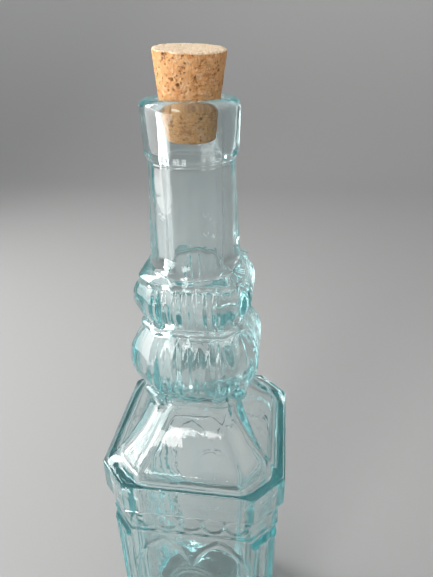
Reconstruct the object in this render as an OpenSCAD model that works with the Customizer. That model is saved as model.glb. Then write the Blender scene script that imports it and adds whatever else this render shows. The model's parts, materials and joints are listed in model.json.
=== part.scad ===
// Antique square glass bottle with a tapered cork
// A round lip and neck stand on two swelled, gadrooned knops of square plan,
// then a flared shoulder, a plain band, a guilloche frieze and four panels of
// gothic tracery between clustered corner columns.
// Millimetres, +Z up, origin on the table under the middle of the base,
// and the panel that faces -Y is the front.

/* [Whole bottle] */
// Height of the glass, from the table to the rim of the mouth
glass_h = 280; // [265:1:320]
// Thickness of the glass in the flat walls
wall = 4.4; // [3:0.1:5]

/* [Lip and neck] */
// Outside radius of the lip at its widest
lip_r = 15.7; // [15:0.1:17]
// Outside radius of the lip at its lower edge
lip_low_r = 15.2; // [14.9:0.1:15.6]
// Height of the lip, rim to neck
lip_h = 17.6; // [15:0.1:20]
// Radius of the rounded edge at the top of the lip
lip_round = 2.6; // [1:0.1:3.2]
// Height of the rounded lower edge of the lip
lip_under = 2.2; // [1:0.1:3]
// Outside radius of the neck just under the lip
neck_top_r = 14.1; // [13.4:0.1:14.6]
// Outside radius of the neck at its foot
neck_foot_r = 15.9; // [15:0.1:16.5]
// Height of the neck, lip to upper knop
neck_h = 38.4; // [30:0.2:44]
// Radius of the bore through the neck
bore_r = 9.8; // [9.7:0.05:10.4]
// Widening of the bore at the rim
mouth_flare = 0.3; // [0.2:0.05:0.8]

/* [Knops] */
// Height of the upper knop
upper_h = 17.2; // [15:0.1:19]
// Half width of the upper knop across its flat faces
upper_w = 20.3; // [19.8:0.1:21.5]
// How far the upper knop swells past its own edges
upper_swell = 3.8; // [3:0.1:4.4]
// Height of the lower knop
lower_h = 26.4; // [24:0.1:29]
// Half width of the lower knop across its flat faces
lower_w = 23.3; // [22.6:0.1:24.6]
// How far the lower knop swells past its own edges
lower_swell = 5.6; // [4.8:0.1:6.4]
// Corner distance of a knop as a share of its half width
knop_corner = 1.145; // [1.1:0.005:1.2]
// Height of each ring moulding
ring_h = 3.2; // [2.4:0.1:4]
// Half width of the ring between the knops
waist_w = 18.9; // [18.2:0.1:19.6]
// Half width of the ring under the lower knop
collar_w = 19.3; // [18.6:0.1:20]
// Number of gadroons on each flat face of a knop
gadroons = 7; // [5:1:8]
// Height of a gadroon above the face at the middle of the swell
gadroon_rise = 0.7; // [0.4:0.05:0.9]

/* [Shoulder and band] */
// Height of the flared shoulder
shoulder_h = 27.3; // [24:0.1:32]
// Depth of the hollow in the shoulder's flare
shoulder_hollow = 2.4; // [1.5:0.1:3]
// Height of the plain band
band_h = 14.2; // [10:0.1:18]
// Half width of the band across its flat faces
band_w = 36.5; // [36:0.1:38]
// Radius of the rounded upper edge of the band
band_edge = 1.4; // [0.8:0.1:2]
// Corner distance of the band as a share of its half width
body_corner = 1.194; // [1.17:0.002:1.22]

/* [Frieze] */
// Height of the frieze
frieze_h = 13; // [11:0.1:15]
// Number of links of the guilloche on each face
links = 5; // [4:1:6]
// Width of a guilloche strand
strand = 1.3; // [0.9:0.05:1.6]

/* [Panels] */
// Step from the band in to the frieze and the panels
body_step = 2.2; // [1.6:0.1:2.6]
// Height of the raised tracery above the panel
relief = 0.9; // [0.5:0.05:1.2]
// Width of a tracery rib
rib = 1.6; // [1.2:0.1:2]
// Half span of each pointed arch
arch_span = 12.2; // [11.2:0.1:12.3]
// Gap from the frieze down to the points of the arches
arch_drop = 3; // [2:0.1:6]
// Outer radius of the round-headed niche
niche_r = 10.9; // [10:0.1:11]
// Gap from the points of the arches down to the crown of the niche
niche_drop = 18.2; // [16:0.1:22]
// Radius of each rod of a corner column
rod_r = 2.3; // [1.8:0.1:2.5]
// Height of the plinth
plinth_h = 11; // [8:0.2:14]
// Depth of the hollow under the base
push_up = 3.5; // [2:0.1:5]

/* [Cork] */
// Length of the cork
cork_l = 25; // [23:0.1:27]
// Radius of the cork at its top
cork_top_r = 11.05; // [10.8:0.05:11.2]
// Radius of the cork at its bottom
cork_low_r = 8.2; // [7.8:0.05:8.25]
// How deep the cork stands in the mouth
cork_depth = 11.6; // [10.6:0.1:12.4]
// Lean of the cork towards the front, in degrees
cork_lean = 6; // [0:0.5:6.5]
// Lean of the cork to the right, in degrees
cork_side = 3; // [0:0.5:3]
// Rounding of the cork's edges
cork_edge = 0.6; // [0.2:0.1:1]

/* [Hidden] */
$fn = 72;
glass_colour = [0.62, 0.80, 0.80, 0.45];
cork_colour = [0.74, 0.56, 0.38];

// Levels from the rim down
z_lip = glass_h - lip_h;
z_neck = z_lip - neck_h;
z_waist = z_neck - upper_h;
z_lower = z_waist - ring_h;
z_collar = z_lower - lower_h;
z_shoulder = z_collar - ring_h;
z_flare = z_shoulder - 3;
z_band = z_shoulder - shoulder_h;
z_frieze = z_band - band_h;
z_panel = z_frieze - frieze_h;
z_upper_mid = (z_neck + z_waist) / 2;
z_lower_mid = (z_lower + z_collar) / 2;

// Half widths and corner distances of the body
body_w = band_w - body_step;
body_c = band_w * body_corner - body_step;
band_c = band_w * body_corner;
face_half = body_c * sqrt(2) - body_w;
shoulder_top_w = collar_w - 1;
shoulder_top_c = shoulder_top_w * knop_corner;

// Levels inside the panels
z_apex = z_panel - arch_drop;
arch_x = arch_span - rib / 2;
z_spring = z_apex - arch_span * sqrt(3);
z_niche = z_apex - niche_drop - niche_r;
floor_z = plinth_h - 0.5;
overlap = 0.4;
long = 200;

function swell_r(h, s) = (h * h / 4 + s * s) / (2 * s);

// A point on a circle, used for rounded stretches of an outline
function on_arc(cx, cy, r, a) = [cx + r * cos(a), cy + r * sin(a)];

// Turn a shape drawn as half width against height into a bar along Y
module bar() {
    rotate([90, 0, 0]) linear_extrude(height = long, center = true) children();
}

// Square plan with cut corners: the first outline shapes the flat faces, the second the corners
module eight_sided() {
    intersection() {
        bar() children(0);
        rotate([0, 0, 90]) bar() children(0);
        rotate([0, 0, 45]) bar() children(1);
        rotate([0, 0, 135]) bar() children(1);
    }
}

// Outline of a swelled knop of half width w and height h about level z
module swell_outline(w, z, h, s, lap) {
    r = swell_r(h, s);
    intersection() {
        union() {
            for (side = [-1, 1]) translate([side * (w - r), z]) circle(r);
            translate([r - w, z - r]) square([2 * (w - r), 2 * r]);
        }
        translate([-w - 1, z - h / 2 - lap]) square([2 * w + 2, h + 2 * lap]);
    }
}

module knop(w, z, h, s) {
    eight_sided() {
        swell_outline(w, z, h, s, overlap);
        swell_outline(w * knop_corner, z, h, s * knop_corner, overlap);
    }
}

// Ring moulding: the knops above and below reach into it
module ring(w, z) {
    swell = 0.66;
    eight_sided() {
        swell_outline(w, z, ring_h, swell, 0);
        swell_outline(w * knop_corner, z, ring_h, swell * knop_corner, 0);
    }
}

// Gadroons: round ribs bent over the four flat faces of a knop, sinking in at both ends
module gadroon_set(w, z, h, s) {
    rib_r = 0.42 * pitch(w);
    reach = 0.44 * h;
    sag = swell_r(h, s) - sqrt(pow(swell_r(h, s), 2) - reach * reach);
    bend = (sag * sag - pow(gadroon_rise, 2) + reach * reach) / (2 * (sag + gadroon_rise));
    sweep = 2 * (asin(reach / (bend + gadroon_rise)) + 6);
    for (turn = [0 : 90 : 270], i = [0 : gadroons - 1])
        rotate([0, 0, turn])
            translate([(i - (gadroons - 1) / 2) * pitch(w), bend - w, z])
                rotate([0, 90, 0]) rotate([0, 0, 270 - sweep / 2])
                    rotate_extrude(angle = sweep)
                        translate([bend + gadroon_rise - rib_r, 0]) circle(rib_r, $fn = 32);
}

function pitch(w) = 2 * (w * (knop_corner * sqrt(2) - 1) - 0.6) / gadroons;

// Outline of the shoulder from half width top to half width low, with a hollow flank
module flare_outline(top, low, z_top, z_low, hollow) {
    run = low - top;
    drop = z_top - z_low;
    chord = norm([run, drop]);
    r = (chord * chord / 4 + hollow * hollow) / (2 * hollow);
    reach = (r - hollow) / chord;
    difference() {
        slab_outline(low, z_low - overlap, z_top);
        for (side = [-1, 1])
            translate([side * ((top + low) / 2 + drop * reach), (z_top + z_low) / 2 + run * reach])
                circle(r, $fn = 180);
    }
}

module shoulder_outline(top, low) {
    flare_outline(top - 0.3, low - band_edge - 0.5, z_flare + 0.6, z_band - 0.4, shoulder_hollow);
}

module slab_outline(w, z_low, z_top) {
    translate([-w, z_low]) square([2 * w, z_top - z_low]);
}

module slab(w, c, z_low, z_top) {
    eight_sided() {
        slab_outline(w, z_low, z_top);
        slab_outline(c, z_low, z_top);
    }
}

// Band with a rounded upper edge
module band_outline(w, edge) {
    slab_outline(w, z_frieze, z_band - edge);
    slab_outline(w - edge, z_frieze, z_band);
    for (side = [-1, 1]) translate([side * (w - edge), z_band - edge]) circle(edge);
}

// Lip and neck as one turned outline
module lip_and_neck() {
    foot_round = 8;
    rotate_extrude()
        polygon(concat(
            [[0, z_neck - 5], [neck_foot_r + 2.4, z_neck - 5]],
            [for (a = [225 : -15 : 180]) on_arc(neck_foot_r + foot_round, z_neck + 4.5, foot_round, a)],
            [for (a = [0 : 22.5 : 90])
                [neck_top_r + (lip_low_r - neck_top_r) * sin(a), z_lip + lip_under * (1 - cos(a))]],
            [for (a = [0 : 15 : 90]) on_arc(lip_r - lip_round, glass_h - lip_round, lip_round, a)],
            [[0, glass_h]]
        ));
}

module knops_and_shoulder() {
    knop(upper_w, z_upper_mid, upper_h, upper_swell);
    gadroon_set(upper_w, z_upper_mid, upper_h, upper_swell);
    ring(waist_w, (z_waist + z_lower) / 2);
    knop(lower_w, z_lower_mid, lower_h, lower_swell);
    gadroon_set(lower_w, z_lower_mid, lower_h, lower_swell);
    ring(collar_w, (z_collar + z_shoulder) / 2);
    slab(shoulder_top_w, shoulder_top_c, z_flare - 1.2, z_shoulder + overlap);
    eight_sided() {
        shoulder_outline(shoulder_top_w, band_w);
        shoulder_outline(shoulder_top_c, band_c);
    }
    eight_sided() {
        band_outline(band_w, band_edge);
        band_outline(band_c, band_edge - 0.15);
    }
}

// Stand a flat drawing up on each of the four panels, proud of it by rise
module on_panels(rise) {
    for (turn = [0 : 90 : 270])
        rotate([0, 0, turn]) translate([0, 1 - body_w, 0]) rotate([90, 0, 0])
            linear_extrude(height = rise + 1) children();
}

// Two arcs that meet in points at left and right
module link_shape(half_l, half_h) {
    r = (half_l * half_l + half_h * half_h) / (2 * half_h);
    intersection() {
        translate([0, half_h - r]) circle(r);
        translate([0, r - half_h]) circle(r);
    }
}

// Guilloche: a row of pointed links between two fillets
module guilloche() {
    link_l = 2 * (face_half - 1) / links;
    link_h = frieze_h / 2 - 1.4;
    for (i = [0 : links - 1])
        translate([(i - (links - 1) / 2) * link_l, z_panel + frieze_h / 2 + 0.3])
            difference() {
                link_shape(link_l / 2 + strand / 2, link_h);
                link_shape(link_l / 2 - strand / 2, link_h - strand);
            }
}

// Head of a pointed arch, drawn from arcs about the opposite springing points
module pointed(r) {
    intersection_for(side = [-1, 1]) translate([side * arch_span, z_spring]) circle(r, $fn = 120);
}

module arch_rib() {
    difference() {
        pointed(2 * arch_span);
        pointed(2 * arch_span - rib);
        translate([-2 * arch_span, z_spring - 4 * arch_span]) square(4 * arch_span);
    }
}

// Round-headed niche: two ribs one inside the other
module niche_rib(r) {
    difference() {
        union() {
            translate([0, z_niche]) circle(r);
            translate([-r, plinth_h - 4]) square([2 * r, z_niche - plinth_h + 4]);
        }
        translate([0, z_niche]) circle(r - rib * 0.75);
        translate([-(r - rib * 0.75), 0]) square([2 * (r - rib * 0.75), z_niche]);
    }
}

// Two pointed arches that cross over the crown of the niche, with their outer legs
module twin_arches() {
    difference() {
        for (side = [-1, 1]) {
            translate([side * arch_x, 0]) arch_rib();
            translate([side * (arch_x + arch_span - rib / 2) - rib / 2 - 0.2, plinth_h - 4])
                square([rib + 0.4, z_spring - plinth_h + 4.5]);
        }
        translate([0, z_niche]) circle(niche_r - 0.3);
    }
}

module tracery() {
    twin_arches();
    niche_rib(niche_r);
    niche_rib(niche_r - 2.3);
}

// Three rods side by side on each cut corner, under a small cap
module corner_column() {
    z_cap = z_panel - 5;
    for (turn = [45 : 90 : 315])
        rotate([0, 0, turn]) {
            for (i = [-1 : 1])
                translate([i * (2 * rod_r - 0.1), 0.6 - body_c, plinth_h - 4])
                    cylinder(r = rod_r, h = z_cap - plinth_h + 4, $fn = 48);
            translate([-3 * rod_r - 0.1, 0.5 - body_c - rod_r, z_cap - 2])
                cube([6 * rod_r + 0.2, rod_r + 0.5, 4]);
        }
}

module plinth_slope(low, top) {
    z_low = plinth_h - 4;
    polygon([[-low, z_low], [low, z_low], [top, plinth_h], [-top, plinth_h]]);
}

module body() {
    slab(body_w, body_c, plinth_h - 4.5, z_frieze + overlap);
    slab(body_w + relief, body_c + relief, z_panel - 0.4, z_panel + 0.8);
    slab(body_w + relief, body_c + relief, z_frieze - 0.8, z_frieze + overlap);
    on_panels(relief) guilloche();
    on_panels(relief) tracery();
    corner_column();
    slab(band_w - 0.4, band_c - 0.4, 0, plinth_h - 3);
    eight_sided() {
        plinth_slope(band_w - 0.7, body_w - 0.6);
        plinth_slope(band_c - 0.7, body_c - 0.9);
    }
}

// Bore of the mouth and neck, opening out in two soft swells behind the knops
module neck_bore() {
    z_low = z_shoulder - 6;
    z_foot = z_neck + 3;
    low_r = shoulder_top_w - wall - 0.9;
    rotate_extrude()
        polygon(concat(
            [[0, z_low], [low_r, z_low]],
            [for (t = [0 : 0.1 : 1])
                [low_r + (lower_w - wall - 0.6 - low_r) * sin(180 * t), z_collar + (z_lower - z_collar) * t]],
            [for (t = [0 : 0.125 : 1])
                [low_r - 1 + (upper_w - wall - low_r + 0.4) * sin(180 * t) - t * (low_r - 1 - bore_r),
                    z_waist + (z_foot - z_waist) * t]],
            [[bore_r, glass_h - 11], [bore_r + mouth_flare, glass_h - 1.2]],
            [[bore_r + mouth_flare + 0.9, glass_h], [bore_r + mouth_flare + 0.9, glass_h + 1], [0, glass_h + 1]]
        ));
}

// Inside of the body and shoulder, following the outside at the wall's thickness
module cavity_outline(side, top, edge) {
    flare_outline(top, side - 0.5, z_flare - 2.5, z_band - 1.4, shoulder_hollow);
    slab_outline(side, floor_z + edge, z_band - 1);
    slab_outline(side - edge, floor_z, z_band - 1);
    for (end = [-1, 1]) translate([end * (side - edge), floor_z + edge]) circle(edge);
}

module body_cavity() {
    eight_sided() {
        cavity_outline(body_w - wall, shoulder_top_w - wall - 0.3, 8);
        cavity_outline(body_c - wall - 1, shoulder_top_c - wall - 0.3, 7);
    }
}

module base_hollow() {
    r_in = body_w * 0.7;
    r_ball = (r_in * r_in + push_up * push_up) / (2 * push_up);
    translate([0, 0, push_up - r_ball]) sphere(r_ball, $fn = 180);
}

module glass_bottle() {
    color(glass_colour)
        difference() {
            union() {
                lip_and_neck();
                knops_and_shoulder();
                body();
            }
            neck_bore();
            body_cavity();
            base_hollow();
        }
}

// Tapered cork, standing a little crooked in the mouth
module cork_stopper() {
    slope = (cork_top_r - cork_low_r) / cork_l;
    low_in = cork_low_r - cork_edge + slope * cork_edge;
    top_in = cork_top_r - cork_edge - slope * cork_edge;
    color(cork_colour)
        translate([0, 0, glass_h])
            rotate([cork_lean, cork_side, 0])
                translate([0, 0, -cork_depth])
                    rotate_extrude()
                        polygon(concat(
                            [[0, 0]],
                            [for (a = [-90 : 30 : 0]) on_arc(low_in, cork_edge, cork_edge, a)],
                            [for (a = [0 : 30 : 90]) on_arc(top_in, cork_l - cork_edge, cork_edge, a)],
                            [[0, cork_l]]
                        ));
}

glass_bottle();
cork_stopper();
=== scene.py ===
import json
import math

import bpy
import numpy as np
from bpy.props import FloatProperty, FloatVectorProperty, IntProperty, PointerProperty
from mathutils import Matrix, Vector


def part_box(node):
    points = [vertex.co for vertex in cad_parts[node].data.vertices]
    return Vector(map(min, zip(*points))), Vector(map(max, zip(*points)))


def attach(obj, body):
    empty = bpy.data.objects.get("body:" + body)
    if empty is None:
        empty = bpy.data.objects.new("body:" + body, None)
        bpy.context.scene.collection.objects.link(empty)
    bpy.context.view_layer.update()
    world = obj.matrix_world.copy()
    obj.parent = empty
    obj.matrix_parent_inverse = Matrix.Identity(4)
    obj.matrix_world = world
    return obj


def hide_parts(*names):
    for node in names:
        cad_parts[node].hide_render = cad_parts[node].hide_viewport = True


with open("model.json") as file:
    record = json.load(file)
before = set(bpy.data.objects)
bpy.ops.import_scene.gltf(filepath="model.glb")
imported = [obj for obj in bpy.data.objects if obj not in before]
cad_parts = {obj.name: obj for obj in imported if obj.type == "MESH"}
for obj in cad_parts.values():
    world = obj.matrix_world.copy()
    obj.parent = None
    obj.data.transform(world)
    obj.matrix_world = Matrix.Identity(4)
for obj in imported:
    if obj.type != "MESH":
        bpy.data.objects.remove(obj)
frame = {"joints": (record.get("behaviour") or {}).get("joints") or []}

bl_info = {
    "name": "Antique glass bottle",
    "version": (1, 0, 0),
    "blender": (4, 5, 0),
    "location": "View3D > Sidebar > Bottle",
    "description": "A square moulded bottle of pale aqua glass, closed with a tapered cork",
    "category": "Object",
}

MM = 0.001
ROOT2 = math.sqrt(2)
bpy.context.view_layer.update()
GLASS_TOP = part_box("glass_bottle")[1]
PULL_AXIS = Vector(frame["joints"][0]["axis"]).normalized()


# Settings that a user would change

def length(name, text, mm):
    return FloatProperty(name=name, description=text, default=mm * MM, unit="LENGTH", precision=5)


def number(name, text, value, least=0):
    return FloatProperty(name=name, description=text, default=value, min=least)


def count(name, text, value, least):
    return IntProperty(name=name, description=text, default=value, min=least)


def tilt(name, text, degrees):
    return FloatProperty(name=name, description=text, default=math.radians(degrees), subtype="ANGLE")


def colour(name, text, value):
    return FloatVectorProperty(name=name, description=text, default=value,
                               subtype="COLOR", size=3, min=0, max=1)


class BottleSizes(bpy.types.PropertyGroup):
    """Sizes of the glass, as in the part's source"""
    glass_h: length("Glass height", "Table to the rim of the mouth", GLASS_TOP.z / MM)
    wall: length("Wall", "Thickness of the flat walls", 4.4)
    lip_r: length("Lip radius", "Outside radius at its widest", 15.7)
    lip_low_r: length("Lip lower radius", "Outside radius at its lower edge", 15.2)
    lip_h: length("Lip height", "Rim to neck", 17.6)
    lip_round: length("Lip rounding", "Radius of its rounded top edge", 2.6)
    lip_under: length("Lip lower rounding", "Height of its rounded lower edge", 2.2)
    neck_top_r: length("Neck top radius", "Outside radius just under the lip", 14.1)
    neck_foot_r: length("Neck foot radius", "Outside radius at the foot of the neck", 15.9)
    neck_h: length("Neck height", "Lip to upper knop", 38.4)
    bore_r: length("Bore radius", "Radius of the bore through the neck", 9.8)
    upper_h: length("Upper knop height", "Height of the upper knop", 17.2)
    upper_w: length("Upper knop half width", "Across its flat faces", 20.3)
    upper_swell: length("Upper knop swell", "How far it swells past its edges", 3.8)
    lower_h: length("Lower knop height", "Height of the lower knop", 26.4)
    lower_w: length("Lower knop half width", "Across its flat faces", 23.3)
    lower_swell: length("Lower knop swell", "How far it swells past its edges", 5.6)
    ring_h: length("Ring height", "Height of each ring moulding", 3.2)
    waist_w: length("Waist ring half width", "Ring between the knops", 18.9)
    collar_w: length("Collar ring half width", "Ring under the lower knop", 19.3)
    gadroon_rise: length("Gadroon rise", "Height of a gadroon above its face", 0.7)
    shoulder_h: length("Shoulder height", "Height of the flared shoulder", 27.3)
    shoulder_hollow: length("Shoulder hollow", "Depth of the hollow in the flare", 2.4)
    band_h: length("Band height", "Height of the plain band", 14.2)
    band_w: length("Band half width", "Across its flat faces", GLASS_TOP.x / MM)
    band_edge: length("Band edge", "Radius of the rounded upper edge", 1.4)
    frieze_h: length("Frieze height", "Height of the guilloche frieze", 13.0)
    strand: length("Strand", "Width of a guilloche strand", 1.3)
    body_step: length("Body step", "Step from the band in to the panels", 2.2)
    relief: length("Relief", "Height of the tracery above the panel", 0.9)
    rib: length("Rib", "Width of a tracery rib", 1.6)
    arch_span: length("Arch half span", "Half span of each pointed arch", 12.2)
    arch_drop: length("Arch drop", "Frieze to the points of the arches", 3.0)
    niche_r: length("Niche radius", "Outer radius of the niche", 10.9)
    niche_drop: length("Niche drop", "Arch points to the crown of the niche", 18.2)
    rod_r: length("Rod radius", "Radius of each rod of a corner column", 2.3)
    plinth_h: length("Plinth height", "Height of the plinth", 11.0)
    push_up: length("Push-up", "Depth of the hollow under the base", 3.5)
    gadroons: count("Gadroons", "Gadroons on each flat face of a knop", 7, 3)
    links: count("Links", "Links of the guilloche on each face", 5, 2)


class GlassLook(bpy.types.PropertyGroup):
    """Finish of the glass"""
    clear: colour("Clear tint", "Colour of the palest glass", (0.985, 0.995, 0.995))
    cord: colour("Streak tint", "Colour of the streaks in the melt", (0.93, 0.975, 0.975))
    depth_tint: colour("Depth tint", "Colour that thick glass turns to", (0.12, 0.80, 0.83))
    depth_density: number("Depth density", "How fast the glass takes its tint, per metre", 12.0)
    wave: length("Wave height", "Height of the waves in the outer skin", 0.16)
    seeds: number("Seeds", "Seed bubbles to each square metre of skin", 2600.0)
    seed_r: length("Seed radius", "Radius of the largest seed bubble", 0.55)


class CorkLook(bpy.types.PropertyGroup):
    """Sizes and finish of the cork"""
    top_r: length("Top radius", "Radius of the cork at its top", 11.05)
    low_r: length("Lower radius", "Radius of the cork at its bottom", 8.2)
    tall: length("Length", "Length of the cork", 25.0)
    depth: length("Depth", "How deep the cork stands in the mouth", 11.6)
    edge: length("Edge", "Rounding of the cork's edges", 0.6)
    pit: length("Pit depth", "Depth of the largest pores", 0.4)
    tan: colour("Tan", "Main colour of the side", (0.74, 0.345, 0.13))
    pale: colour("Pale", "Colour of the lighter growth", (0.92, 0.56, 0.275))
    rust: colour("Rust", "Colour of the browner patches", (0.54, 0.20, 0.065))
    cut: colour("Cut end", "Colour of the freshly cut end", (0.94, 0.765, 0.56))
    dark: colour("Pores", "Colour of the pores and streaks", (0.15, 0.062, 0.024))


class StageLook(bpy.types.PropertyGroup):
    """Floor, lamps and camera"""
    floor: colour("Floor", "Colour of the paper under the bottle", (0.40, 0.40, 0.395))
    wall: colour("Wall", "Colour of the paper behind the bottle", (0.64, 0.64, 0.635))
    sky: number("Fill", "Strength of the even fill light", 0.72)
    window: number("Window", "Radiance of the window lamp", 7.4)
    lens: number("Lens", "Focal length of the camera in millimetres", 28.55, 1)
    eye: FloatVectorProperty(name="Eye", description="Place of the camera", subtype="TRANSLATION",
                             default=(0.02771, -0.14806, 0.29372), size=3, precision=5)
    pitch: tilt("Pitch", "How far the camera looks down", 27.99)
    yaw: tilt("Yaw", "Turn of the camera about the upright", 7.82)
    roll: tilt("Roll", "Turn of the camera about its own axis", -0.84)


# Node trees

class Value:
    """A number inside a node tree: arithmetic on it adds Math nodes"""

    def __init__(self, tree, socket):
        self.tree = tree
        self.socket = socket

    def math(self, operation, a, b):
        node = self.tree.nodes.new("ShaderNodeMath")
        node.operation = operation
        for socket, value in zip(node.inputs, (a, b)):
            if isinstance(value, Value):
                self.tree.links.new(value.socket, socket)
            else:
                socket.default_value = value
        return Value(self.tree, node.outputs[0])

    def __add__(self, other):
        return self.math("ADD", self, other)

    __radd__ = __add__

    def __sub__(self, other):
        return self.math("SUBTRACT", self, other)

    def __rsub__(self, other):
        return self.math("SUBTRACT", other, self)

    def __mul__(self, other):
        return self.math("MULTIPLY", self, other)

    __rmul__ = __mul__

    def __truediv__(self, other):
        return self.math("DIVIDE", self, other)

    def most(self, other):
        return self.math("MAXIMUM", self, other)

    def least(self, other):
        return self.math("MINIMUM", self, other)

    def step(self, low, high):
        """0 below low and 1 above high, eased between"""
        t = ((self - low) / (high - low)).most(0.0).least(1.0)
        return t * t * (3.0 - 2.0 * t)


class Nodes:
    """A node tree under construction"""

    def __init__(self, tree):
        self.tree = tree

    def add(self, kind, sockets=None, **settings):
        """Add a node with its settings: each socket takes a value, a socket or a node's first output"""
        node = self.tree.nodes.new(kind)
        for name, value in settings.items():
            setattr(node, name, value)
        for name, value in (sockets or {}).items():
            if isinstance(value, Value):
                value = value.socket
            elif isinstance(value, bpy.types.Node):
                value = value.outputs[0]
            if isinstance(value, bpy.types.NodeSocket):
                self.tree.links.new(value, node.inputs[name])
            else:
                node.inputs[name].default_value = value
        return node

    def value(self, kind, sockets=None, out=0, **settings):
        return Value(self.tree, self.add(kind, sockets, **settings).outputs[out])

    def vector(self, operation, sockets):
        return self.add("ShaderNodeVectorMath", sockets, operation=operation).outputs[0]

    def part(self, vector, axis):
        return self.value("ShaderNodeSeparateXYZ", {0: vector}, out=axis)

    def noise(self, vector, scale, detail=2.0, rough=0.5):
        return self.value("ShaderNodeTexNoise",
                          {"Vector": vector, "Scale": scale, "Detail": detail, "Roughness": rough})

    def ragged(self, vector, scale, reach):
        """The same places, each pushed off by an uneven noise"""
        push = self.add("ShaderNodeTexNoise", {"Vector": vector, "Scale": scale, "Detail": 3.0})
        return self.vector("MULTIPLY_ADD", {0: push.outputs["Color"], 1: (reach, reach, reach), 2: vector})

    def cells(self, vector, scale):
        return self.value("ShaderNodeTexVoronoi", {"Vector": vector, "Scale": scale})

    def mixed(self, share, a, b):
        """Colour a where share is 0 and b where it is 1"""
        a, b = (v if isinstance(v, bpy.types.NodeSocket) else (*v, 1.0) for v in (a, b))
        return self.add("ShaderNodeMix", {0: share, 6: a, 7: b}, data_type="RGBA").outputs[2]


def emptied(owner):
    """The node tree of a material, world or lamp, with nothing in it"""
    owner.use_nodes = True
    owner.node_tree.nodes.clear()
    return Nodes(owner.node_tree)


def new_finish(name):
    """A new material, its node tree and the object coordinates in it"""
    material = bpy.data.materials.new(name)
    n = emptied(material)
    return material, n, n.add("ShaderNodeTexCoord").outputs["Object"]


def close_finish(n, sockets, ends=None):
    """End a finish with one Principled surface, beside any other ends"""
    surface = n.add("ShaderNodeBsdfPrincipled", sockets)
    n.add("ShaderNodeOutputMaterial", {"Surface": surface, **(ends or {})})


def aqua_glass(look):
    """Wavy, faintly streaked glass that turns teal where it is thick"""
    material, n, place = new_finish("aqua_glass")
    slow = n.noise(place, 62.0, 2.0)
    ripple = n.noise(place, 230.0, 2.0)
    pulled = n.vector("MULTIPLY", {0: place, 1: (1.0, 1.0, 0.18)})
    drawn = n.noise(pulled, 300.0, 2.0)
    streak = n.noise(pulled, 110.0, 3.0).step(0.45, 0.75)
    smear = n.noise(place, 48.0, 5.0, 0.62).step(0.52, 0.76)
    height = slow + ripple * 0.16 + drawn * 0.16
    bump = n.add("ShaderNodeBump", {"Strength": 0.32, "Distance": 0.0010, "Height": height})
    depth = n.add("ShaderNodeVolumeAbsorption",
                  {"Color": (*look.depth_tint, 1.0), "Density": look.depth_density})
    close_finish(n, {
        "Base Color": n.mixed(streak, look.clear, look.cord),
        "Roughness": 0.015 + smear * 0.06,
        "IOR": 1.5,
        "Transmission Weight": 1.0,
        "Normal": bump,
    }, {"Volume": depth})
    return material


def natural_cork(look):
    """Orange-tan cork: mottled crumbs, rusty patches, wavy growth lines, dark pores and a paler cut end"""
    material, n, place = new_finish("natural_cork")
    pit, rim, cut = (n.value("ShaderNodeAttribute", out=2, attribute_name=name)
                     for name in ("pit", "rim", "cut_end"))
    frayed = (n.noise(place, 800.0, 3.0) - 0.5) * rim * 2.6
    end = (cut + frayed).step(0.25, 0.75)
    crumb = n.noise(place, 700.0, 4.0, 0.65).step(0.36, 0.66)
    fine = n.noise(place, 2200.0, 3.0, 0.6)
    blush = n.noise(place, 210.0, 3.0, 0.6).step(0.40, 0.66)
    rust = n.noise(place, 480.0, 4.0, 0.62).step(0.51, 0.67)
    pressed = n.vector("MULTIPLY", {0: place, 1: (0.5, 0.5, 2.8)})
    growth = n.noise(pressed, 300.0, 3.0, 0.55)
    zone = n.noise(place, 90.0, 1.0).step(0.54, 0.66)
    off_line = (growth - 0.5).most(0.5 - growth)
    lines = (1.0 - off_line.step(0.006, 0.04)) * zone * (1.0 - end)
    torn = n.ragged(place, 1500.0, 0.0007)
    speck = (1.0 - n.cells(torn, 900.0).step(0.16, 0.36)) * n.noise(place, 240.0, 2.0).step(0.50, 0.60)
    fleck = n.noise(place, 560.0, 3.0, 0.6).step(0.50, 0.64)
    dark = (pit * 0.9).most(speck * 0.6).most(lines * 0.3)
    warm = n.mixed(crumb * 0.7 + fine * 0.3, look.tan, look.pale)
    rosy = n.mixed(blush * 0.5, warm, look.tan)
    flecked = n.mixed(fleck * 0.22, rosy, look.cut)
    side = n.mixed(rust * 0.65, flecked, look.rust)
    pale_end = n.mixed(crumb * 0.35, look.cut, look.pale)
    skin = n.mixed(end, side, pale_end)
    worn = n.mixed((dark * (1.0 - end * 0.6)).least(1.0), skin, look.dark)
    height = crumb * 0.35 + fine * 0.4 - dark * 0.8
    bump = n.add("ShaderNodeBump", {"Strength": 0.8, "Distance": 0.0006, "Height": height})
    close_finish(n, {
        "Base Color": worn,
        "Roughness": 0.76 + crumb * 0.14,
        "Specular IOR Level": 0.25,
        "Normal": bump,
    })
    return material


def stage_paper(look):
    """Matt paper for the floor and sweep"""
    material, n, place = new_finish("stage_paper")
    fibre = n.noise(place, 900.0, 3.0)
    height = n.part(place, 2).step(0.0, 0.7)
    floor = n.mixed(fibre, look.floor, tuple(c * 0.96 for c in look.floor))
    close_finish(n, {
        "Base Color": n.mixed(height, floor, look.wall),
        "Roughness": 0.85 + fibre * 0.1,
        "Specular IOR Level": 0.2,
    })
    return material


# Geometry trees

def new_tree(name, inputs):
    """A geometry tree with named inputs, each of a kind of socket"""
    tree = bpy.data.node_groups.new(name, "GeometryNodeTree")
    for way in ("INPUT", "OUTPUT"):
        tree.interface.new_socket("Geometry", in_out=way, socket_type="NodeSocketGeometry")
    for label, kind in inputs.items():
        tree.interface.new_socket(label, in_out="INPUT", socket_type="NodeSocket" + kind)
    nodes = Nodes(tree)
    return tree, nodes, nodes.add("NodeGroupInput").outputs


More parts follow.
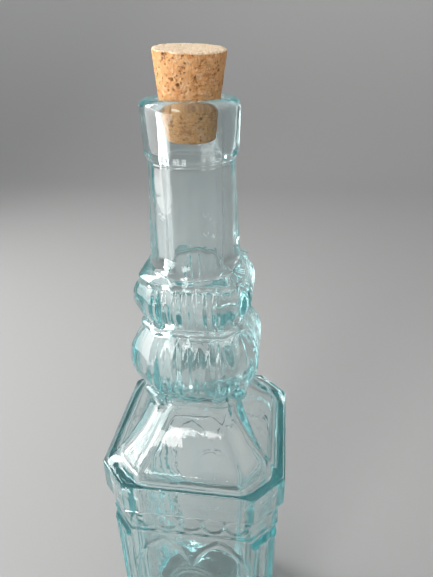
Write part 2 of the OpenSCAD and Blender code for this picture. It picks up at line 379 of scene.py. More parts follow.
def grown(obj, tree, values):
    """Run a geometry tree on an object and keep the result as its plain mesh"""
    modifier = obj.modifiers.new(tree.name, "NODES")
    modifier.node_group = tree
    for item in tree.interface.items_tree:
        if item.in_out == "INPUT" and item.name in values:
            modifier[item.identifier] = values[item.name]
    seen = obj.evaluated_get(bpy.context.evaluated_depsgraph_get())
    mesh = bpy.data.meshes.new_from_object(seen)
    old = obj.data
    obj.modifiers.clear()
    obj.data = mesh
    bpy.data.meshes.remove(old)
    mesh.name = obj.name


def end_tree(n, geometry, finish):
    """Smooth the faces, give them their finish and end the tree"""
    smooth = n.add("GeometryNodeSetShadeSmooth", {"Geometry": geometry})
    made = n.add("GeometryNodeSetMaterial", {"Geometry": smooth, "Material": finish})
    n.add("NodeGroupOutput", {0: made})


def seed_tree():
    """Seed bubbles: small voids scattered in the wall, turned inside out and joined to the skin"""
    tree, n, put = new_tree("glass_seeds", {
        "Density": "Float", "Depth": "Float", "Radius": "Float", "Seed": "Int", "Finish": "Material"})
    zone = n.add("GeometryNodeInputNamedAttribute", {"Name": "seed_zone"}, data_type="FLOAT")
    spread = n.add("GeometryNodeDistributePointsOnFaces", {
        "Mesh": put["Geometry"], "Selection": zone, "Density": put["Density"], "Seed": put["Seed"],
    }, distribute_method="RANDOM")
    deep = n.value("FunctionNodeRandomValue", {2: -1.25, 3: -0.75, "Seed": 11}, out=1, data_type="FLOAT")
    inward = n.vector("SCALE", {0: spread.outputs["Normal"], "Scale": deep * Value(tree, put["Depth"])})
    moved = n.add("GeometryNodeSetPosition", {"Geometry": spread, "Offset": inward})
    draw = n.value("FunctionNodeRandomValue", {2: 0.0, 3: 1.0, "Seed": 12}, out=1, data_type="FLOAT")
    size = (draw * draw * draw * 0.8 + 0.2) * Value(tree, put["Radius"])
    drawn = n.add("ShaderNodeCombineXYZ", {0: size, 1: size, 2: size * 1.5})
    ball = n.add("GeometryNodeMeshUVSphere", {"Segments": 8, "Rings": 5, "Radius": 1.0})
    set_in = n.add("GeometryNodeInstanceOnPoints", {"Points": moved, "Instance": ball, "Scale": drawn})
    real = n.add("GeometryNodeRealizeInstances", {"Geometry": set_in})
    turned = n.add("GeometryNodeFlipFaces", {"Mesh": real})
    joined = n.add("GeometryNodeJoinGeometry")
    tree.links.new(turned.outputs[0], joined.inputs[0])
    tree.links.new(put["Geometry"], joined.inputs[0])
    end_tree(n, joined, put["Finish"])
    return tree


def cork_tree():
    """Cork skin: pores sunk along the grain and a slightly crumbled surface"""
    tree, n, put = new_tree("cork_grain", {
        "Pit": "Float", "Crumble": "Float", "Pores": "Float", "Finish": "Material"})
    place = n.add("GeometryNodeInputPosition").outputs[0]
    torn = n.ragged(place, 700.0, 0.0011)
    wide = n.cells(torn, put["Pores"])
    chosen = n.noise(place, 190.0, 1.0).step(0.48, 0.56)
    fine = n.cells(torn, Value(tree, put["Pores"]) * 1.9)
    often = n.noise(place, 330.0, 1.0).step(0.50, 0.60)
    pit = ((1.0 - wide.step(0.13, 0.29)) * chosen).most((1.0 - fine.step(0.14, 0.34)) * often * 0.75)
    edge = n.value("GeometryNodeInputNamedAttribute", {"Name": "rim"}, data_type="FLOAT")
    crumb = n.noise(place, 420.0, 4.0, 0.6) - 0.5
    chips = (n.noise(place, 800.0, 3.0, 0.6) - 0.56).least(0.0) * edge * 9.0
    rise = (crumb + chips) * Value(tree, put["Crumble"]) - pit * Value(tree, put["Pit"])
    out = n.vector("SCALE", {0: n.add("GeometryNodeInputNormal"), "Scale": rise})
    kept = n.add("GeometryNodeStoreNamedAttribute", {
        "Geometry": put["Geometry"], "Name": "pit", "Value": pit}, data_type="FLOAT", domain="POINT")
    moved = n.add("GeometryNodeSetPosition", {"Geometry": kept, "Offset": out})
    real = n.add("GeometryNodeRealizeInstances", {"Geometry": moved})
    end_tree(n, real, put["Finish"])
    return tree


# Skins made of rings of points

class Columns:
    """Upright lines of points round a square plan whose corners are cut and rounded, four equal quarters"""

    def __init__(self, face, cut, edge):
        arc = (np.arange(edge) + 1) / (edge + 1)
        parts = (np.linspace(-1, 1, face), arc, np.linspace(-1, 1, cut), arc)
        self.part = np.tile(np.repeat(np.arange(4), [len(t) for t in parts]), 4)
        self.t = np.tile(np.concatenate(parts), 4)
        self.turn = np.repeat(np.arange(4), len(self.t) // 4) * math.pi / 2
        x, y = self.ring(1.0, 1.16, 0.16)
        self.angle = np.arctan2(y, x)

    def ring(self, w, c, edge):
        """Points of a plan with half width w, corner distance c and that rounding"""
        back = edge * math.tan(math.pi / 8)
        a = c * ROOT2 - w - back
        b = w * ROOT2 - c - back
        bend = self.t * math.pi / 4
        rest = (1 - self.t) * math.pi / 4
        parts = [self.part == k for k in range(3)]
        x = np.select(parts,
                      [self.t * a, a + edge * np.sin(bend), (c + self.t * b) / ROOT2],
                      w - edge + edge * np.cos(rest))
        y = np.select(parts,
                      [np.full_like(self.t, -w), edge - w - edge * np.cos(bend), (self.t * b - c) / ROOT2],
                      -a - edge * np.sin(rest))
        self.along = np.where(self.part == 0, self.t * a, self.t * b)
        return self.turned(x, y)

    def turned(self, x, y):
        cos, sin = np.cos(self.turn), np.sin(self.turn)
        return x * cos - y * sin, x * sin + y * cos

    def raised(self, x, y, on_face, on_cut=0.0):
        """Push the points of the faces and of the cut corners outwards"""
        out = np.where(self.part == 0, on_face, 0.0)
        aslant = np.where(self.part == 2, on_cut, 0.0) / ROOT2
        dx, dy = self.turned(aslant, -out - aslant)
        return x + dx, y + dy

    def round(self, r):
        return r * np.cos(self.angle), r * np.sin(self.angle)


class Skin:
    """A chain of rings joined into one closed skin, from a first middle point to a last one"""

    def __init__(self, first):
        self.points = [np.array([first], float)]
        self.swing = [np.zeros(1)]
        self.quads = []
        self.tris = []
        self.count = 1
        self.last = (0, None)

    def ring(self, x, y, z, swing=0.0):
        n = len(x)
        self.points.append(np.column_stack([x, y, np.broadcast_to(z, (n,))]))
        self.swing.append(np.full(n, swing))
        start, angle = self.count, np.unwrap(np.arctan2(y, x))
        self.count += n
        here = start + np.arange(n)
        ahead = np.roll(here, -1)
        before, before_angle = self.last
        if before_angle is None:
            self.tris.append(np.column_stack([np.full(n, before), here, ahead]))
        elif len(before) == n:
            self.quads.append(np.column_stack([before, here, ahead, np.roll(before, -1)]))
        else:
            self.tris.append(self.laced(before, before_angle, here, angle))
        self.last = (here, angle)

    def laced(self, a, a_angle, b, b_angle):
        """Triangles between two rings of different counts"""
        a_next, b_next = (np.append(turn[1:], turn[0] + 2 * math.pi) for turn in (a_angle, b_angle))
        i = j = 0
        out = []
        while i < len(a) or j < len(b):
            if j == len(b) or (i < len(a) and a_next[i] <= b_next[j]):
                out.append((a[i], b[j % len(b)], a[(i + 1) % len(a)]))
                i += 1
            else:
                out.append((a[i % len(a)], b[j], b[(j + 1) % len(b)]))
                j += 1
        return np.array(out)

    def close(self, point):
        before = self.last[0]
        self.points.append(np.array([point], float))
        self.swing.append(np.zeros(1))
        self.tris.append(np.column_stack([before, np.full(len(before), self.count), np.roll(before, -1)]))
        self.count += 1

    def mesh(self, name):
        points = np.concatenate(self.points)
        mesh = bpy.data.meshes.new(name)
        faces = [f for block in self.quads + self.tris for f in block.tolist()]
        mesh.from_pydata((points * MM).tolist(), [], faces)
        if mesh.validate():
            raise RuntimeError(name + ": the skin has broken faces")
        mesh.polygons.foreach_set("use_smooth", [True] * len(mesh.polygons))
        return mesh


def soft_most(a, b, blend):
    """The greater of two, eased where they meet"""
    return 0.5 * (a + b + np.sqrt((a - b) ** 2 + blend * blend))


def ridge(off, half):
    """Height of a soft rounded rib at a distance off its line"""
    return np.clip(1 - (off / (1.8 * half)) ** 2, 0, 1) ** 2


def ease(t):
    """0 below 0 and 1 above 1, eased between"""
    t = np.clip(t, 0, 1)
    return t * t * (3 - 2 * t)


def spaced(top, low, wide, close, marks, reach):
    """Levels from top to low, set closer together near the marks"""
    levels = []
    z = top
    while z > low:
        levels.append(z)
        z -= close + (wide - close) * ease(min(abs(z - m) for m in marks) / reach)
    return levels


def arc_radius(chord, rise):
    """Radius of the arc that rises so far over a chord"""
    return (chord * chord / 4 + rise * rise) / (2 * rise)


def waves(points, length, turn):
    """Slow uneven waves between -1 and 1 over a cloud of points"""
    total = np.zeros(len(points))
    for k in range(7):
        a = turn + 2.4 * k
        way = np.array([math.cos(a), math.sin(a), 0.6 * math.sin(1.7 * a + k)])
        total += np.sin(points @ way * (2 * math.pi / (length * (0.75 + 0.13 * k))) + 1.9 * k + turn)
    return total / 4.2


class BottlePlan:
    """Levels and outlines of the bottle, in millimetres"""

    knop_corner = 1.145  # cut corners of the knops: distance over half width
    knop_round = 4.5  # and their rounding
    body_corner = 1.194  # the same for band and panels
    body_round = 1.4
    band_round = 1.6
    cove_r = 8.0  # cove at the foot of the neck
    cove_up = 4.5  # its start above the upper knop
    waist_more = 0.2  # how far the rings stand out past the solid's
    collar_more = 0.9
    corner_more = 0.2  # besides, at the collar ring's corners
    collar_tall = 0.8  # how much lower that ring reaches
    waist_swell = 1.2
    collar_swell = 1.7
    flare_drop = 3.0  # upright part of the shoulder
    collar_step = 1.2  # its distance back from the collar ring
    blend = 0.25  # easing where these forms meet
    quirk_deep = 0.5  # fine groove beside each ring
    quirk_half = 0.4
    shoulder_ledge = 0.8  # flat at the shoulder's foot
    arris = 0.7  # rounding of the band's lower edge and of the hollow under it
    plinth_back = 0.4  # plinth to the face of the band
    hollow_round = 9.0  # upright corners of the inside
    hollow_sharper = 3.0  # and how much less under the shoulder
    hollow_fillet = 8.0  # edge of its floor

    def __init__(self, sizes):
        for name in BottleSizes.__annotations__:
            value = getattr(sizes, name)
            setattr(self, name, value if isinstance(value, int) else value / MM)
        self.z_lip = self.glass_h - self.lip_h
        self.z_neck = self.z_lip - self.neck_h
        self.z_waist = self.z_neck - self.upper_h
        self.z_lower = self.z_waist - self.ring_h
        self.z_collar = self.z_lower - self.lower_h
        self.z_shoulder = self.z_collar - self.ring_h
        self.z_flare = self.z_shoulder - self.flare_drop
        self.z_band = self.z_shoulder - self.shoulder_h
        self.z_frieze = self.z_band - self.band_h
        self.z_panel = self.z_frieze - self.frieze_h
        self.band_c = self.band_w * self.body_corner
        self.body_w = self.band_w - self.body_step
        self.body_c = self.band_c - self.body_step
        self.face_half = self.body_c * ROOT2 - self.body_w
        self.top_w = self.collar_w - self.collar_step
        self.top_c = self.top_w * self.knop_corner
        self.z_apex = self.z_panel - self.arch_drop
        self.arch_x = self.arch_span - self.rib / 2
        self.z_spring = self.z_apex - self.arch_span * math.sqrt(3)
        self.z_niche = self.z_apex - self.niche_drop - self.niche_r
        self.floor_z = self.plinth_h - 0.5
        self.worn = 0.5 * self.relief
        self.plinth_out = self.body_step - self.plinth_back
        self.knops = [(self.upper_w, self.upper_h, self.upper_swell, (self.z_neck + self.z_waist) / 2),
                      (self.lower_w, self.lower_h, self.lower_swell, (self.z_lower + self.z_collar) / 2)]

    @staticmethod
    def swelled(w, h, swell, off):
        """Half width of a swelled moulding at a distance off its middle level"""
        r = arc_radius(h, swell)
        return w - r + math.sqrt(max(r * r - off * off, 0.0))

    def stack(self, z, k):
        """Half width of knops, rings and shoulder top at level z, with k over 1 at the cut corners"""
        upper, lower = ((w * k, h, swell * k, mid) for w, h, swell, mid in self.knops)
        waist = (self.waist_w * k + self.waist_more, self.ring_h, self.waist_swell,
                 (self.z_waist + self.z_lower) / 2)
        collar_w = self.collar_w * k + self.collar_more + (self.corner_more if k > 1 else 0.0)
        collar = (collar_w, self.ring_h + self.collar_tall, self.collar_swell,
                  (self.z_collar + self.z_shoulder - self.collar_tall) / 2)
        half = 0.0
        for w, h, swell, mid in (upper, waist, lower, collar):
            half = soft_most(half, self.swelled(w, h, swell, z - mid), self.blend)
        if z < self.z_shoulder + 0.5:
            half = soft_most(half, self.top_w * k, self.blend)
        quirks = (self.z_waist, self.z_lower, self.z_collar, self.z_shoulder - self.collar_tall)
        return half - self.quirk_deep * max(ridge(abs(z - quirk), self.quirk_half) for quirk in quirks)

    def gadroon(self, u, w, h, swell, off):
        """Height of the gadroons above the face of a knop, at places u and distance off its middle level"""
        r = arc_radius(h, swell)
        reach = 0.44 * h
        sag = r - math.sqrt(r * r - reach * reach)
        bend = (sag * sag - self.gadroon_rise ** 2 + reach * reach) / (2 * (sag + self.gadroon_rise))
        pitch = 2 * (w * (self.knop_corner * ROOT2 - 1) - 0.6) / self.gadroons
        rib_r = 0.42 * pitch
        d = (np.mod(u / pitch + self.gadroons / 2, 1) - 0.5) * pitch
        inside = np.abs(u) < pitch * self.gadroons / 2
        crest = bend + self.gadroon_rise - rib_r + np.sqrt(np.clip(rib_r ** 2 - d ** 2, 0, None))
        rib = w - bend + np.sqrt(np.clip(crest ** 2 - off * off, 0, None))
        rise = np.where(inside, rib - self.swelled(w, h, swell, off), -1.0)
        return np.maximum(soft_most(rise, 0.0, 0.22) - 0.02, 0.0)

    def flare(self, top, low, z_top, z_low, z):
        """Half width of the hollow flank at level z"""
        run, drop = low - top, z_top - z_low
        chord = math.hypot(run, drop)
        r = arc_radius(chord, self.shoulder_hollow)
        reach = (r - self.shoulder_hollow) / chord
        cx, cz = (top + low) / 2 + drop * reach, (z_top + z_low) / 2 + run * reach
        return cx - math.sqrt(max(r * r - (z - cz) ** 2, 0.0))

    def guilloche(self, u, z):
        """Raised strands of the row of pointed links"""
        pace = 2 * (self.face_half - 1) / self.links
        tall = self.frieze_h / 2 - 1.4 - self.strand / 2
        r = arc_radius(pace, tall)
        off = z - (self.z_panel + self.frieze_h / 2 + 0.3)
        rise = np.zeros_like(u)
        for i in range(self.links):
            x = u - (i - (self.links - 1) / 2) * pace
            for way in (-1, 1):
                d = np.abs(np.hypot(x, off - way * (tall - r)) - r)
                ok = (np.abs(x) < pace / 2 + 0.5) & (way * off > -0.8)
                rise = np.maximum(rise, np.where(ok, ridge(d, self.strand / 2), 0.0))
        return rise

    def tracery(self, u, z):
        """Raised ribs of the two pointed arches and of the round-headed niche between them"""
        rise = np.zeros_like(u)
        from_niche = np.hypot(u, z - self.z_niche) if z > self.z_niche else np.abs(u)
        for side in (-1, 1):
            x = u - side * self.arch_x
            if z >= self.z_spring:
                for hand in (-1, 1):
                    d = np.abs(np.hypot(x + hand * self.arch_span, z - self.z_spring)
                               - 2 * self.arch_span + self.rib / 2)
                    rise = np.maximum(rise, np.where(hand * x > -0.6, ridge(d, self.rib / 2), 0.0))
            else:
                rise = np.maximum(rise, ridge(np.abs(x - side * self.arch_x), self.rib / 2 + 0.1))
        rise = np.where(from_niche < self.niche_r - 0.3, 0.0, rise)
        thin = 0.75 * self.rib / 2
        for r in (self.niche_r - thin, self.niche_r - 2.3 - thin):
            rise = np.maximum(rise, 0.75 * ridge(np.abs(from_niche - r), thin))
        return rise

    def column(self, u, z):
        """Height of the three rods of a corner column and of their cap"""
        cap = self.z_panel - 5
        rods = np.zeros_like(u)
        for i in (-1, 0, 1):
            d = u - i * (2 * self.rod_r - 0.1)
            rods = soft_most(rods, np.sqrt(np.clip(self.rod_r ** 2 - d ** 2, 0, None)) - 0.6, 0.3)
        rods = rods * ease((cap + 1 - z) / 1.2)
        block = (self.rod_r - 0.9) * ridge(abs(z - cap), 1.8) * ease((7.3 - np.abs(u)) / 1.2)
        return soft_most(rods, block, 0.3)

    def ledge(self, z):
        """How far the outline of the panels stands out at level z: fillet and plinth"""
        fillet = self.worn * ridge(abs(z - self.z_panel), 0.95)
        foot = self.plinth_h - 3
        slope = np.clip((self.plinth_h - 1.15 - z) * 0.525, 0, 1.0) if z > foot else 0.0
        plinth = self.plinth_out * ease((foot - z) / 0.9 + 0.5)
        return float(max(fillet, slope, plinth))

    def undercut(self):
        """Rows of the band's lower edge and of the hollow under it: level and distance out from the panels"""
        r, out = self.arris, self.body_step
        rows = [(self.z_frieze + r - r * math.sin(a), out - r + r * math.cos(a))
                for a in np.radians((0, 18, 36, 54, 72, 88))]
        rows += [(self.z_frieze - 0.03, 1.2), (self.z_frieze - 0.07, 0.9)]
        rows += [(self.z_frieze - 0.8 + r * math.cos(a), r - r * math.sin(a))
                 for a in np.radians((8, 26, 44, 62, 80))]
        return rows

    def body_ring(self, cols, z, base):
        """One ring of the frieze, the panels or the plinth"""
        x, y = cols.ring(self.body_w + base, self.body_c + base, self.body_round)
        u = cols.along
        face = cut = 0.0
        if self.z_panel < z < self.z_frieze:
            face = 0.8 * self.worn * self.guilloche(u, z)
        elif self.plinth_h - 4 < z <= self.z_panel:
            face = self.worn * self.tracery(u, z)
        if self.plinth_h - 4 < z < self.z_panel:
            cut = self.column(u, z)
        rise = [np.maximum(soft_most(part, base, 0.1) - base - 0.03, 0) for part in (face, cut)]
        return cols.raised(x, y, *rise)


def lip_and_neck_rows(p):
    """Radius against height of the turned part, rim first, with the fine mould seam under the lip"""
    rows = []
    for a in np.radians(np.linspace(90, 0, 9)):
        rows.append((p.lip_r + p.lip_round * (math.cos(a) - 1), p.glass_h + p.lip_round * (math.sin(a) - 1)))
    z_top, z_under = p.glass_h - p.lip_round, p.z_lip + p.lip_under
    for t in (0.1, 0.28, 0.46, 0.64, 0.8, 0.93):
        rows.append((p.lip_r + (p.lip_low_r - p.lip_r) * t, z_top + (z_under - z_top) * t))
    for a in np.radians((82, 68, 54, 40, 27, 15)):
        rows.append((p.neck_top_r + (p.lip_low_r - p.neck_top_r) * math.sin(a),
                     p.z_lip + p.lip_under * (1 - math.cos(a))))
    foot = p.z_neck + p.cove_up
    taper = (p.neck_foot_r - p.neck_top_r) / (p.z_lip - foot)
    for drop in (0.1, 0.45, 0.75, 0.95, 1.1, 1.25, 1.45, 1.75, 2.6, 4, 6, 8.5,
                 11, 14, 17, 20, 23, 26, 29, 31.5):
        fillet = 0.22 * math.exp(-drop / 0.3)
        seam = 0.13 * math.exp(-((drop - 1.1) / 0.25) ** 2)
        rows.append((p.neck_top_r + taper * drop + fillet + seam, p.z_lip - drop))
    for a in np.radians((184, 190, 196, 202, 207)):
        rows.append((p.neck_foot_r + p.cove_r * (1 + math.cos(a)), foot + p.cove_r * math.sin(a)))
    return rows


def knop_rings(p, skin):
    """Knops and rings, with the cove of the neck worked into the upper knop"""
    cols = Columns(50, 8, 5)
    marks = (p.z_neck, p.z_waist, p.z_lower, p.z_collar, p.z_shoulder)
    for z in spaced(p.z_neck + 0.5, p.z_flare + 0.9, 1.1, 0.32, marks, 2.2):
        x, y = cols.ring(p.stack(z, 1.0), p.stack(z, p.knop_corner), p.knop_round)
        for w, h, swell, mid in p.knops:
            if abs(z - mid) < h / 2 - 0.5:
                x, y = cols.raised(x, y, p.gadroon(cols.along, w, h, swell, z - mid))
        if z > p.z_waist + 2:
            drop = min(p.z_neck + p.cove_up - z, p.cove_r / ROOT2)
            cove = p.neck_foot_r + p.cove_r - math.sqrt(p.cove_r ** 2 - drop ** 2)
            reach = np.hypot(x, y)
            wider = soft_most(reach, cove, 0.5) / reach
            x, y = x * wider, y * wider
        skin.ring(x, y, z, 1.0)


def shoulder_rings(p, skin):
    """Hollow-flanked shoulder, its narrow ledge and the plain band"""
    cols = Columns(22, 9, 5)

    def ring(w, c, z, edge):
        skin.ring(*cols.ring(w, c, edge), z, 1.0)

    edge = 0.5 * p.band_edge  # tighter than the solid's
    back = edge + p.shoulder_ledge
    z_top, z_end = p.z_flare + 0.6, p.z_band + 0.05
    for t in np.linspace(0.02, 1.0, 20):
        z = z_top + (z_end - z_top) * t
        w, c = (soft_most(p.flare(top - 0.3, low - back, z_top, p.z_band, z), top, 0.2)
                for top, low in ((p.top_w, p.band_w), (p.top_c, p.band_c)))
        ring(w, c, z, p.knop_round + (p.band_round - p.knop_round) * t)
    for a in np.radians((90, 68, 45, 22, 0)):
        out, up = edge * (math.cos(a) - 1), edge * (math.sin(a) - 1)
        ring(p.band_w + out, p.band_c + out, p.z_band + up, p.band_round)
    for z in (p.z_band - 3.5, p.z_band - 6, p.z_band - 8.5, p.z_band - 11, p.z_frieze + 1.6):
        ring(p.band_w, p.band_c, z, p.band_round)


def body_rings(p, skin):
    """Frieze, panels and plinth, with rows set close only where there is tracery"""
    cols = Columns(84, 18, 2)
    z_tracery = p.z_niche - 6
    levels = spaced(p.z_frieze - 1.1, z_tracery, 0.56, 0.36, (p.z_panel,), 1.6)
    levels += spaced(z_tracery - 4, p.plinth_h + 1, 7.5, 2.0, (p.plinth_h,), 8.0)
    levels += spaced(p.plinth_h, 0.8, 1.2, 0.4, (p.plinth_h - 1.6, p.plinth_h - 3), 1.2)
    for z, base in p.undercut() + [(z, p.ledge(z)) for z in levels]:
        skin.ring(*p.body_ring(cols, z, base), z, 1.0)
    for back, z in ((0.12, 0.45), (0.4, 0.12), (0.8, 0.0)):
        out = p.plinth_out - back
        skin.ring(*cols.ring(p.body_w + out, p.body_c + out, p.body_round), z)


def outside(p, skin):
    """The outer skin, from the rim down to the hollow under the base"""
    neck = Columns(26, 6, 2)
    for r, z in lip_and_neck_rows(p):
        skin.ring(*neck.round(r), z, 1.0)
    knop_rings(p, skin)
    shoulder_rings(p, skin)
    body_rings(p, skin)
    base = Columns(14, 4, 3)
    for share in (1.0, 0.85, 0.68, 0.5, 0.3, 0.14):
        skin.ring(*base.round(0.7 * p.body_w * share), p.push_up * (1 - share * share))
    skin.close((0, 0, p.push_up))


def hollow_rings(p, cols, skin):
    """Floor, walls and shoulder of the inside"""
    fillet = p.hollow_fillet
    side_w, side_c = p.body_w - p.wall, p.body_c - p.wall - 1
    for share in (0.2, 0.45, 0.7, 0.88):
        plan = cols.ring((side_w - fillet) * share, (side_c - fillet) * share, p.hollow_round * share)
        skin.ring(*plan, p.floor_z + 0.8 * (1 - share))
    for a in np.radians((0, 15, 30, 45, 60, 75, 90)):
        out = fillet * (math.sin(a) - 1)
        plan = cols.ring(side_w + out, side_c + out, p.hollow_round)
        skin.ring(*plan, p.floor_z + fillet * (1 - math.cos(a)), 1.6)
    for z in np.linspace(p.floor_z + 14, p.z_band - 4, 20):
        edge = p.hollow_round - p.hollow_sharper * ease((z - p.z_panel) / 14)
        skin.ring(*cols.ring(side_w, side_c, edge), z, 0.4)
    z_top, z_low = p.z_flare - 2.5, p.z_band - 1.4
    for t in np.linspace(0.03, 1.0, 14):
        z = z_low + (z_top - z_low) * t
        w, c = (min(p.flare(top - p.wall - 0.3, side - 0.5, z_top, z_low, z), side)
                for top, side in ((p.top_w, side_w), (p.top_c, side_c)))
        skin.ring(*cols.ring(w, c, p.hollow_round - p.hollow_sharper + 1.5 * t), z, 0.4)


def bore_rows(p):
    """Radius against height of the round inside of the two knops"""
    low_r = p.top_w - p.wall - 0.9
    swell = p.lower_w - p.wall - 0.6 - low_r
    rows = [(low_r + swell * math.sin(math.pi * t), p.z_collar + p.lower_h * t)
            for t in np.linspace(0, 1, 15)]
    swell = p.upper_w - p.wall + 0.4 - low_r
    waist_r = low_r - 1
    tall = p.z_neck + 3 - p.z_waist
    for t in np.linspace(0.06, 1, 13):
        r = waist_r + swell * math.sin(math.pi * t) - t * (waist_r - p.bore_r)
        rows.append((r, p.z_waist + tall * t))
    return rows


def inside(p, skin):
    """The inner skin, from the floor up to the rim"""
    cols = Columns(18, 7, 3)
    hollow_rings(p, cols, skin)
    for r, z in bore_rows(p):
        skin.ring(*cols.round(r), z, 1.2)
    ripple = 0.10 * np.sin(9 * cols.angle + 0.7) + 0.07 * np.sin(16 * cols.angle + 2.1)
    for z in np.linspace(p.z_neck + 7, p.glass_h - 14, 10):
        skin.ring(*cols.round(p.bore_r + ripple), z, 0.6)
    for out, drop in ((0.1, 7), (0.2, 4), (0.3, 1.8), (0.5, 0.9), (0.85, 0.35), (1.3, 0.05)):
        skin.ring(*cols.round(p.bore_r + out), p.glass_h - drop, 0.2)


def store(mesh, name, values):
    """Keep one number at each point of a mesh"""
    mark = mesh.attributes.new(name, "FLOAT", "POINT")
    mark.data.foreach_set("value", values.astype(np.float32))


def placed(name, data):
    """A new object in the scene"""
    obj = bpy.data.objects.new(name, data)
    bpy.context.scene.collection.objects.link(obj)
    return obj


# Operators

class BOTTLE_OT_glass(bpy.types.Operator):
    """Build the moulded bottle as one closed skin with seed bubbles in its wall"""
    bl_idname = "bottle.glass"
    bl_label = "Glass bottle"

    def execute(self, context):
        look = context.scene.glass_look
        p = BottlePlan(context.scene.bottle_sizes)
        skin = Skin((0, 0, p.floor_z + 0.9))
        inside(p, skin)
        outside(p, skin)
        points = np.concatenate(skin.points)
        swing = np.concatenate(skin.swing) * look.wave / MM
        shift = swing * (0.7 * waves(points, 29.0, 0.4) + 0.5 * waves(points, 12.0, 1.3))
        reach = np.maximum(np.hypot(*points[:, :2].T), 1.0)
        points[:, :2] *= (1 + shift / reach)[:, None]
        skin.points = [points]
        mesh = skin.mesh("moulded_glass")
        x, y, z = points.T
        store(mesh, "seed_zone", (np.hypot(x, y) > p.body_w - 1) & (z > 20) & (z < p.z_band - 2))
        bottle = placed("moulded_glass", mesh)
        grown(bottle, seed_tree(), {"Density": look.seeds, "Depth": 0.5 * p.wall * MM, "Radius": look.seed_r,
                                    "Seed": 5, "Finish": aqua_glass(look)})
        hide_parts("glass_bottle")
        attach(bottle, "bottle")
        return {"FINISHED"}


class BOTTLE_OT_cork(bpy.types.Operator):
    """Build the tapered cork, leaning in the mouth as it stands"""
    bl_idname = "bottle.cork"
    bl_label = "Cork"

    def execute(self, context):
        look = context.scene.cork_look
        top_r, low_r, tall, edge = (v / MM for v in (look.top_r, look.low_r, look.tall, look.edge))
        n = 280
        angle = np.arange(n) * 2 * math.pi / n
        skin = Skin((0, 0, tall))
        ends = [np.ones(1)]
        rims = [np.zeros(1)]

        def ring(r, z, end):
            skin.ring(r * np.cos(angle), r * np.sin(angle), z)
            ends.append(np.full(n, end))
            rims.append(np.full(n, math.exp(-((tall - z) ** 2 + (top_r - r) ** 2) / 1.4)))

        slope = (top_r - low_r) / tall
        for r in np.linspace(0.8, top_r - edge - 0.1, 30):
            ring(r, tall, 1.0)
        for a in np.radians((70, 45, 20)):
            up = math.sin(a)
            ring(top_r - edge - slope * edge + edge * math.cos(a), tall - edge + edge * up, 0.5 + 0.5 * up)
        for t in np.linspace(1 - edge / tall, edge / tall, 96):
            ring(low_r + (top_r - low_r) * t, tall * t, 0.0)
        for a in np.radians((20, 45, 70)):
            ring(low_r - edge + slope * edge + edge * math.cos(a), edge - edge * math.sin(a), 0.3)
        for r in np.linspace(low_r - edge - 0.1, 0.8, 16):
            ring(r, 0.0, 0.6)
        skin.close((0, 0, 0))
        ends.append(np.full(1, 0.6))
        rims.append(np.zeros(1))
        mesh = skin.mesh("tapered_cork")
        store(mesh, "cut_end", np.concatenate(ends))
        store(mesh, "rim", np.concatenate(rims))
        lean = Vector((0, 0, 1)).rotation_difference(PULL_AXIS).to_matrix().to_4x4()
        mouth = Matrix.Translation((0, 0, context.scene.bottle_sizes.glass_h))
        mesh.transform(mouth @ lean @ Matrix.Translation((0, 0, -look.depth)))
        cork = placed("tapered_cork", mesh)
        grown(cork, cork_tree(), {"Pit": look.pit, "Crumble": 0.24 * MM, "Pores": 440.0,
                                  "Finish": natural_cork(look)})
        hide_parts("cork_stopper")
        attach(cork, "cork")
        return {"FINISHED"}


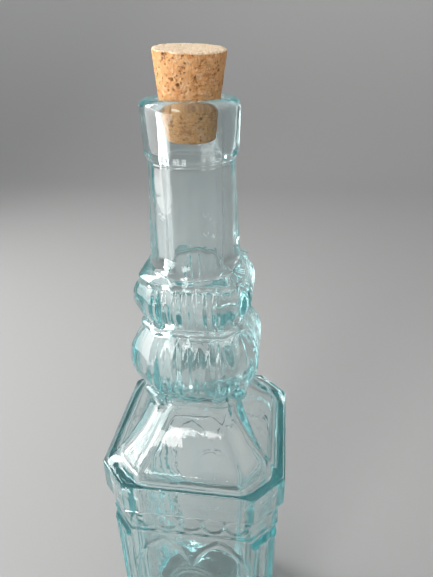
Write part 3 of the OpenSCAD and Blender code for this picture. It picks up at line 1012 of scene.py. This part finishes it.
class BOTTLE_OT_stage(bpy.types.Operator):
    """Lay the floor and sweep, hang the lamps and place the camera"""
    bl_idname = "bottle.stage"
    bl_label = "Stage"

    def execute(self, context):
        scene = context.scene
        look = scene.stage_look
        self.sweep(look)
        self.lamps(look)
        scene.world = self.room(look)
        scene.camera = self.camera(look)
        scene.view_settings.view_transform = "Standard"
        light = scene.cycles
        light.max_bounces = light.transmission_bounces = light.glossy_bounces = 24
        return {"FINISHED"}

    def sweep(self, look):
        """Paper that lies flat under the bottle, bends up behind it and stands"""
        gap = 0.2 * MM  # a hairline of air, without which the foot of the glass renders black
        reach, back, bend, top = 4.0, 0.9, 0.7, 2.5
        line = [(-reach, 0.0), (back, 0.0)]
        for a in np.radians(np.arange(6, 91, 6)):
            line.append((back + bend * math.sin(a), bend - bend * math.cos(a)))
        line.append((back + bend, top))
        verts = [(x, y, z - gap) for y, z in line for x in (-reach, reach)]
        faces = [(2 * i, 2 * i + 1, 2 * i + 3, 2 * i + 2) for i in range(len(line) - 1)]
        mesh = bpy.data.meshes.new("paper_sweep")
        mesh.from_pydata(verts, [], faces)
        mesh.polygons.foreach_set("use_smooth", [True] * len(faces))
        mesh.materials.append(stage_paper(look))
        paper = placed("paper_sweep", mesh)

    def lamps(self, look):
        """Soft lamps about the bottle, each turned to its middle"""
        middle = Vector((0.0, 0.0, 0.2))
        half = math.radians(55)  # the lamps shine forwards only, so the floor beside them stays even
        # name, degrees round from the front, degrees up, distance, width, height, share of the window, tone
        lamps = [
            ("window", 73, 15, 0.9, 1.25, 0.95, 1.0, (1.0, 0.98, 0.96)),
            ("front_lamp", 17, 25, 0.9, 0.44, 0.65, 1.6, (1.0, 0.97, 0.94)),
            ("bright_pane", 99, 37, 1.0, 0.42, 0.62, 2.2, (0.98, 0.99, 1.0)),
            ("room", -80, 26, 0.9, 0.5, 0.5, 0.10, (1.0, 0.74, 0.52)),
        ]
        for name, turn, rise, far, wide, high, share, tone in lamps:
            turn, rise = math.radians(turn), math.radians(rise)
            flat = math.cos(rise)
            way = Vector((-math.sin(turn) * flat, -math.cos(turn) * flat, math.sin(rise)))
            lamp = bpy.data.lights.new(name, "AREA")
            lamp.shape = "RECTANGLE"
            lamp.size, lamp.size_y = wide, high
            lamp.spread = 2 * half
            lamp.energy = look.window * share * math.pi * wide * high * (1 - half / math.tan(half))
            lamp.color = tone
            self.soften(lamp)
            holder = placed(name, lamp)
            holder.location = middle + way * far
            holder.rotation_euler = (-way).to_track_quat("-Z", "Y").to_euler()

    def room(self, look):
        """Even fill light, dimmer towards the horizon"""
        world = bpy.data.worlds.new("room")
        n = emptied(world)
        height = n.part(n.add("ShaderNodeTexCoord").outputs["Generated"], 2).step(0.0, 0.55)
        colour = n.mixed(height, (0.34, 0.34, 0.34), (0.97, 0.985, 1.0))
        glow = n.add("ShaderNodeBackground", {"Color": colour, "Strength": look.sky})
        n.add("ShaderNodeOutputWorld", {0: glow})
        return world

    def soften(self, lamp):
        """Let the light of a lamp fade towards its edges, as a curtained window's does"""
        n = emptied(lamp)
        across = n.add("ShaderNodeNewGeometry").outputs["Parametric"]
        u = n.part(across, 1)
        v = 1.0 - u - n.part(across, 0)
        fade = (u * (1.0 - u) * 4.0).step(0.0, 0.18) * (v * (1.0 - v) * 4.0).step(0.0, 0.18)
        colour = n.mixed(fade, (0, 0, 0), (1, 1, 1))
        glow = n.add("ShaderNodeEmission", {"Color": colour, "Strength": 1.0})
        n.add("ShaderNodeOutputLight", {0: glow})

    def camera(self, look):
        """The photo's camera: pitched down, rolled, then turned about the upright"""
        c, s = math.cos(look.pitch), math.sin(look.pitch)
        ahead, right, up = Vector((0, c, -s)), Vector((1, 0, 0)), Vector((0, s, c))
        rc, rs = math.cos(look.roll), math.sin(look.roll)
        right, up = rc * right + rs * up, rc * up - rs * right
        aim = Matrix((right, up, -ahead)).transposed()
        lens = bpy.data.cameras.new("eye")
        lens.lens = look.lens
        lens.sensor_width = 36.0
        lens.clip_start = 0.01
        eye = placed("eye", lens)
        eye.matrix_world = Matrix.Translation(look.eye) @ (Matrix.Rotation(look.yaw, 3, "Z") @ aim).to_4x4()
        return eye


class BOTTLE_PT_sidebar(bpy.types.Panel):
    """Everything that makes the bottle, in the order of making"""
    bl_idname = "BOTTLE_PT_sidebar"
    bl_label = "Antique glass bottle"
    bl_space_type = "VIEW_3D"
    bl_region_type = "UI"
    bl_category = "Bottle"

    def draw(self, context):
        for operator in OPERATORS:
            self.layout.operator(operator.bl_idname)
        for group in GROUPS:
            box = self.layout.box()
            settings = getattr(context.scene, group)
            for name in GROUPS[group].__annotations__:
                box.prop(settings, name)


GROUPS = {"bottle_sizes": BottleSizes, "glass_look": GlassLook,
          "cork_look": CorkLook, "stage_look": StageLook}
OPERATORS = (BOTTLE_OT_stage, BOTTLE_OT_glass, BOTTLE_OT_cork)
CLASSES = (*GROUPS.values(), *OPERATORS, BOTTLE_PT_sidebar)


def register():
    for cls in CLASSES:
        bpy.utils.register_class(cls)
    for name, group in GROUPS.items():
        setattr(bpy.types.Scene, name, PointerProperty(type=group))


def unregister():
    for name in GROUPS:
        delattr(bpy.types.Scene, name)
    for cls in reversed(CLASSES):
        bpy.utils.unregister_class(cls)


def main():
    register()
    bpy.ops.bottle.stage()
    bpy.ops.bottle.glass()
    bpy.ops.bottle.cork()


if __name__ == "__main__":
    main()
